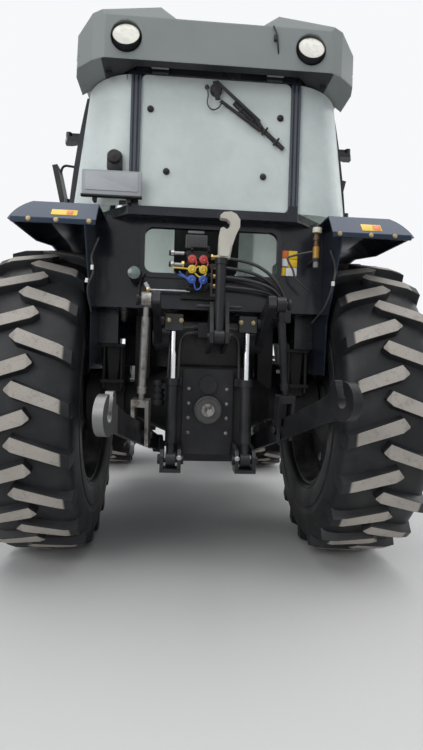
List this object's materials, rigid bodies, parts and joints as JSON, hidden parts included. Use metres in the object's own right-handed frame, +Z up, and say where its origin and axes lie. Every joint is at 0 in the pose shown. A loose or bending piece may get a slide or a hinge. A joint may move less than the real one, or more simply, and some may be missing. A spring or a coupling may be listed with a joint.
{
  "type": "farm tractor",
  "caption": "Four wheel drive farm tractor with a glazed cab, broad mudguards, a hinged bonnet and a rear three point linkage stowed high.",
  "frame": {"origin": "on the ground, at the middle of the machine's length and width", "axes": "+Y towards the tractor's front, +X towards its right hand side, +Z up"},
  "size_m": [2.5156, 4.61, 2.838],
  "materials": {
    "tyre_rubber": "black rubber, the lug faces dusted pale grey-brown",
    "wheel_paint": "dark grey paint, dusty in the corners",
    "chassis_paint": "black paint over castings, grey with dust on top",
    "cast_black": "cast iron painted black",
    "engine_cast": "cast iron painted dark grey",
    "bright_steel": "bare machined steel",
    "link_steel": "worn bare steel, scuffed grey",
    "link_black": "black painted forging, worn at the edges",
    "cylinder_paint": "black painted tube",
    "chromed_rod": "hard chromed rod",
    "cab_black": "satin black powder coat",
    "roof_shell": "grey-green moulded shell, satin",
    "lamp_lens": "clear ribbed lens with a chromed rim",
    "tinted_glass": "slightly tinted safety glass",
    "fender_gloss": "gloss black moulding",
    "seat_fabric": "dark grey woven cloth",
    "cab_trim": "dark grey grained plastic",
    "trim_black": "black grained plastic",
    "tank_moulding": "black moulded tank and powder coated steps",
    "exhaust_black": "heat proof matt black",
    "bonnet_paint": "gloss black paint",
    "grille_black": "black moulded grille with clear lamps",
    "hose_rubber": "black hydraulic hose, brass ends"
  },
  "bodies": {
    "chassis": {"cab_frame": "cab_black", "cab_glass": "tinted_glass", "cab_roof": "roof_shell", "dash": "cab_trim", "engine_block": "engine_cast", "exhaust": "exhaust_black", "fenders": "fender_gloss", "front_axle": "chassis_paint", "front_support": "cast_black", "front_weights": "cast_black", "hoses": "hose_rubber", "mirrors": "trim_black", "rear_brackets": "chassis_paint", "seat": "seat_fabric", "side_tanks": "tank_moulding", "transmission": "chassis_paint", "valve_block": "cast_black", "work_lamps": "lamp_lens"},
    "bonnet": {"bonnet": "bonnet_paint", "grille": "grille_black"},
    "door_left": {"door_frame_left": "cab_black", "door_glass_left": "tinted_glass"},
    "door_right": {"door_frame_right": "cab_black", "door_glass_right": "tinted_glass"},
    "rear_wheel_left": {"rear_tyre_left": "tyre_rubber", "rear_wheel_left": "wheel_paint"},
    "rear_wheel_right": {"rear_tyre_right": "tyre_rubber", "rear_wheel_right": "wheel_paint"},
    "knuckle_left": {"knuckle_left": "chassis_paint"},
    "knuckle_right": {"knuckle_right": "chassis_paint"},
    "front_wheel_left": {"front_tyre_left": "tyre_rubber", "front_wheel_left": "wheel_paint"},
    "front_wheel_right": {"front_tyre_right": "tyre_rubber", "front_wheel_right": "wheel_paint"},
    "steering_rod": {"steering_rod": "bright_steel"},
    "steering_wheel": {"steering_wheel": "cab_trim"},
    "pto_shaft": {"pto_shaft": "bright_steel"},
    "lift_arms": {"lift_arms": "link_black"},
    "lower_link_left": {"lower_link_left": "link_steel"},
    "lower_link_right": {"lower_link_right": "link_black"},
    "lift_rod_left": {"lift_rod_left": "link_steel"},
    "lift_rod_right": {"lift_rod_right": "link_black"},
    "cylinder_barrels": {"cylinder_barrels": "cylinder_paint"},
    "cylinder_rods": {"cylinder_rods": "chromed_rod"},
    "top_link": {"top_link": "link_black"}
  },
  "joints": [
    {"name": "bonnet_lid", "type": "hinge", "parent": "chassis", "child": "bonnet", "pos_m": [0, 0.327, 1.592], "axis": [1, 0, 0], "range_deg": [0, 50]},
    {"name": "door_left_swing", "type": "hinge", "parent": "chassis", "child": "door_left", "pos_m": [-0.836, -1.113, 2.2], "axis": [0, 0, 1], "range_deg": [0, 75]},
    {"name": "door_right_swing", "type": "hinge", "parent": "chassis", "child": "door_right", "pos_m": [0.836, -1.113, 2.2], "axis": [0, 0, -1], "range_deg": [0, 75]},
    {"name": "rear_wheel_left_spin", "type": "hinge", "parent": "chassis", "child": "rear_wheel_left", "pos_m": [-0.865, -0.995, 0.877], "axis": [1, 0, 0], "continuous": true},
    {"name": "rear_wheel_right_spin", "type": "hinge", "parent": "chassis", "child": "rear_wheel_right", "pos_m": [0.865, -0.995, 0.877], "axis": [1, 0, 0], "continuous": true},
    {"name": "steer_right", "type": "hinge", "parent": "chassis", "child": "knuckle_right", "pos_m": [0.6, 1.605, 0.633], "axis": [0, 0, 1], "range_deg": [-30, 30]},
    {"name": "steer_left", "type": "hinge", "parent": "chassis", "child": "knuckle_left", "pos_m": [-0.6, 1.605, 0.633], "axis": [0, 0, 1], "range_deg": [-30, 30]},
    {"name": "front_wheel_left_spin", "type": "hinge", "parent": "knuckle_left", "child": "front_wheel_left", "pos_m": [-0.83, 1.605, 0.633], "axis": [1, 0, 0], "continuous": true},
    {"name": "front_wheel_right_spin", "type": "hinge", "parent": "knuckle_right", "child": "front_wheel_right", "pos_m": [0.83, 1.605, 0.633], "axis": [1, 0, 0], "continuous": true},
    {"name": "steering_rod_slide", "type": "slide", "parent": "chassis", "child": "steering_rod", "axis": [1, 0, 0], "range_m": [-0.09, 0.09]},
    {"name": "steering_wheel_turn", "type": "hinge", "parent": "chassis", "child": "steering_wheel", "pos_m": [0, -0.115, 1.86], "axis": [0, -0.5592, 0.829], "range_deg": [-455, 455]},
    {"name": "pto_spin", "type": "hinge", "parent": "chassis", "child": "pto_shaft", "pos_m": [0, -1.595, 0.865], "axis": [0, -1, 0], "continuous": true},
    {"name": "lift_arms_swing", "type": "hinge", "parent": "chassis", "child": "lift_arms", "pos_m": [0, -1.395, 1.24], "axis": [-1, 0, 0], "range_deg": [-36, 18]},
    {"name": "cylinder_barrels_tilt", "type": "hinge", "parent": "chassis", "child": "cylinder_barrels", "pos_m": [0, -1.635, 0.625], "axis": [-1, 0, 0], "range_deg": [-1.43, 0.96]},
    {"name": "cylinder_rods_slide", "type": "slide", "parent": "cylinder_barrels", "child": "cylinder_rods", "axis": [0, 0.0698, 0.9976], "range_m": [-0.128, 0.065]},
    {"name": "top_link_swing", "type": "hinge", "parent": "chassis", "child": "top_link", "pos_m": [0.031, -1.73, 1.232], "axis": [1, 0, 0], "range_deg": [0, 75]},
    {"name": "lower_link_left_swing", "type": "hinge", "parent": "chassis", "child": "lower_link_left", "pos_m": [-0.262, -1.245, 0.645], "axis": [-1, 0, 0], "range_deg": [-35.07, 17.79]},
    {"name": "lift_rod_left_swing", "type": "hinge", "parent": "lift_arms", "child": "lift_rod_left", "pos_m": [-0.312, -1.795, 1.388], "axis": [-1, 0, 0], "range_deg": [-17.26, 34.03]},
    {"name": "lower_link_right_swing", "type": "hinge", "parent": "chassis", "child": "lower_link_right", "pos_m": [0.262, -1.245, 0.645], "axis": [-1, 0, 0], "range_deg": [-35.18, 17.84]},
    {"name": "lift_rod_right_swing", "type": "hinge", "parent": "lift_arms", "child": "lift_rod_right", "pos_m": [0.312, -1.795, 1.388], "axis": [-1, 0, 0], "range_deg": [-18.22, 35.94]}
  ],
  "couplings": [
    {"joint": "steer_left", "follows": "steer_right", "ratio": 1},
    {"joint": "steering_rod_slide", "follows": "steer_right", "m_per_rad": 0.1624},
    {"joint": "steering_wheel_turn", "follows": "steer_right", "ratio": 15},
    {"joint": "cylinder_barrels_tilt", "follows": "lift_arms_swing", "ratio": 0.0258},
    {"joint": "cylinder_rods_slide", "follows": "lift_arms_swing", "m_per_rad": 0.20046},
    {"joint": "lower_link_left_swing", "follows": "lift_arms_swing", "ratio": 0.9604},
    {"joint": "lift_rod_left_swing", "follows": "lift_arms_swing", "ratio": -0.9313},
    {"joint": "lower_link_right_swing", "follows": "lift_arms_swing", "ratio": 0.9633},
    {"joint": "lift_rod_right_swing", "follows": "lift_arms_swing", "ratio": -0.9844}
  ]
}
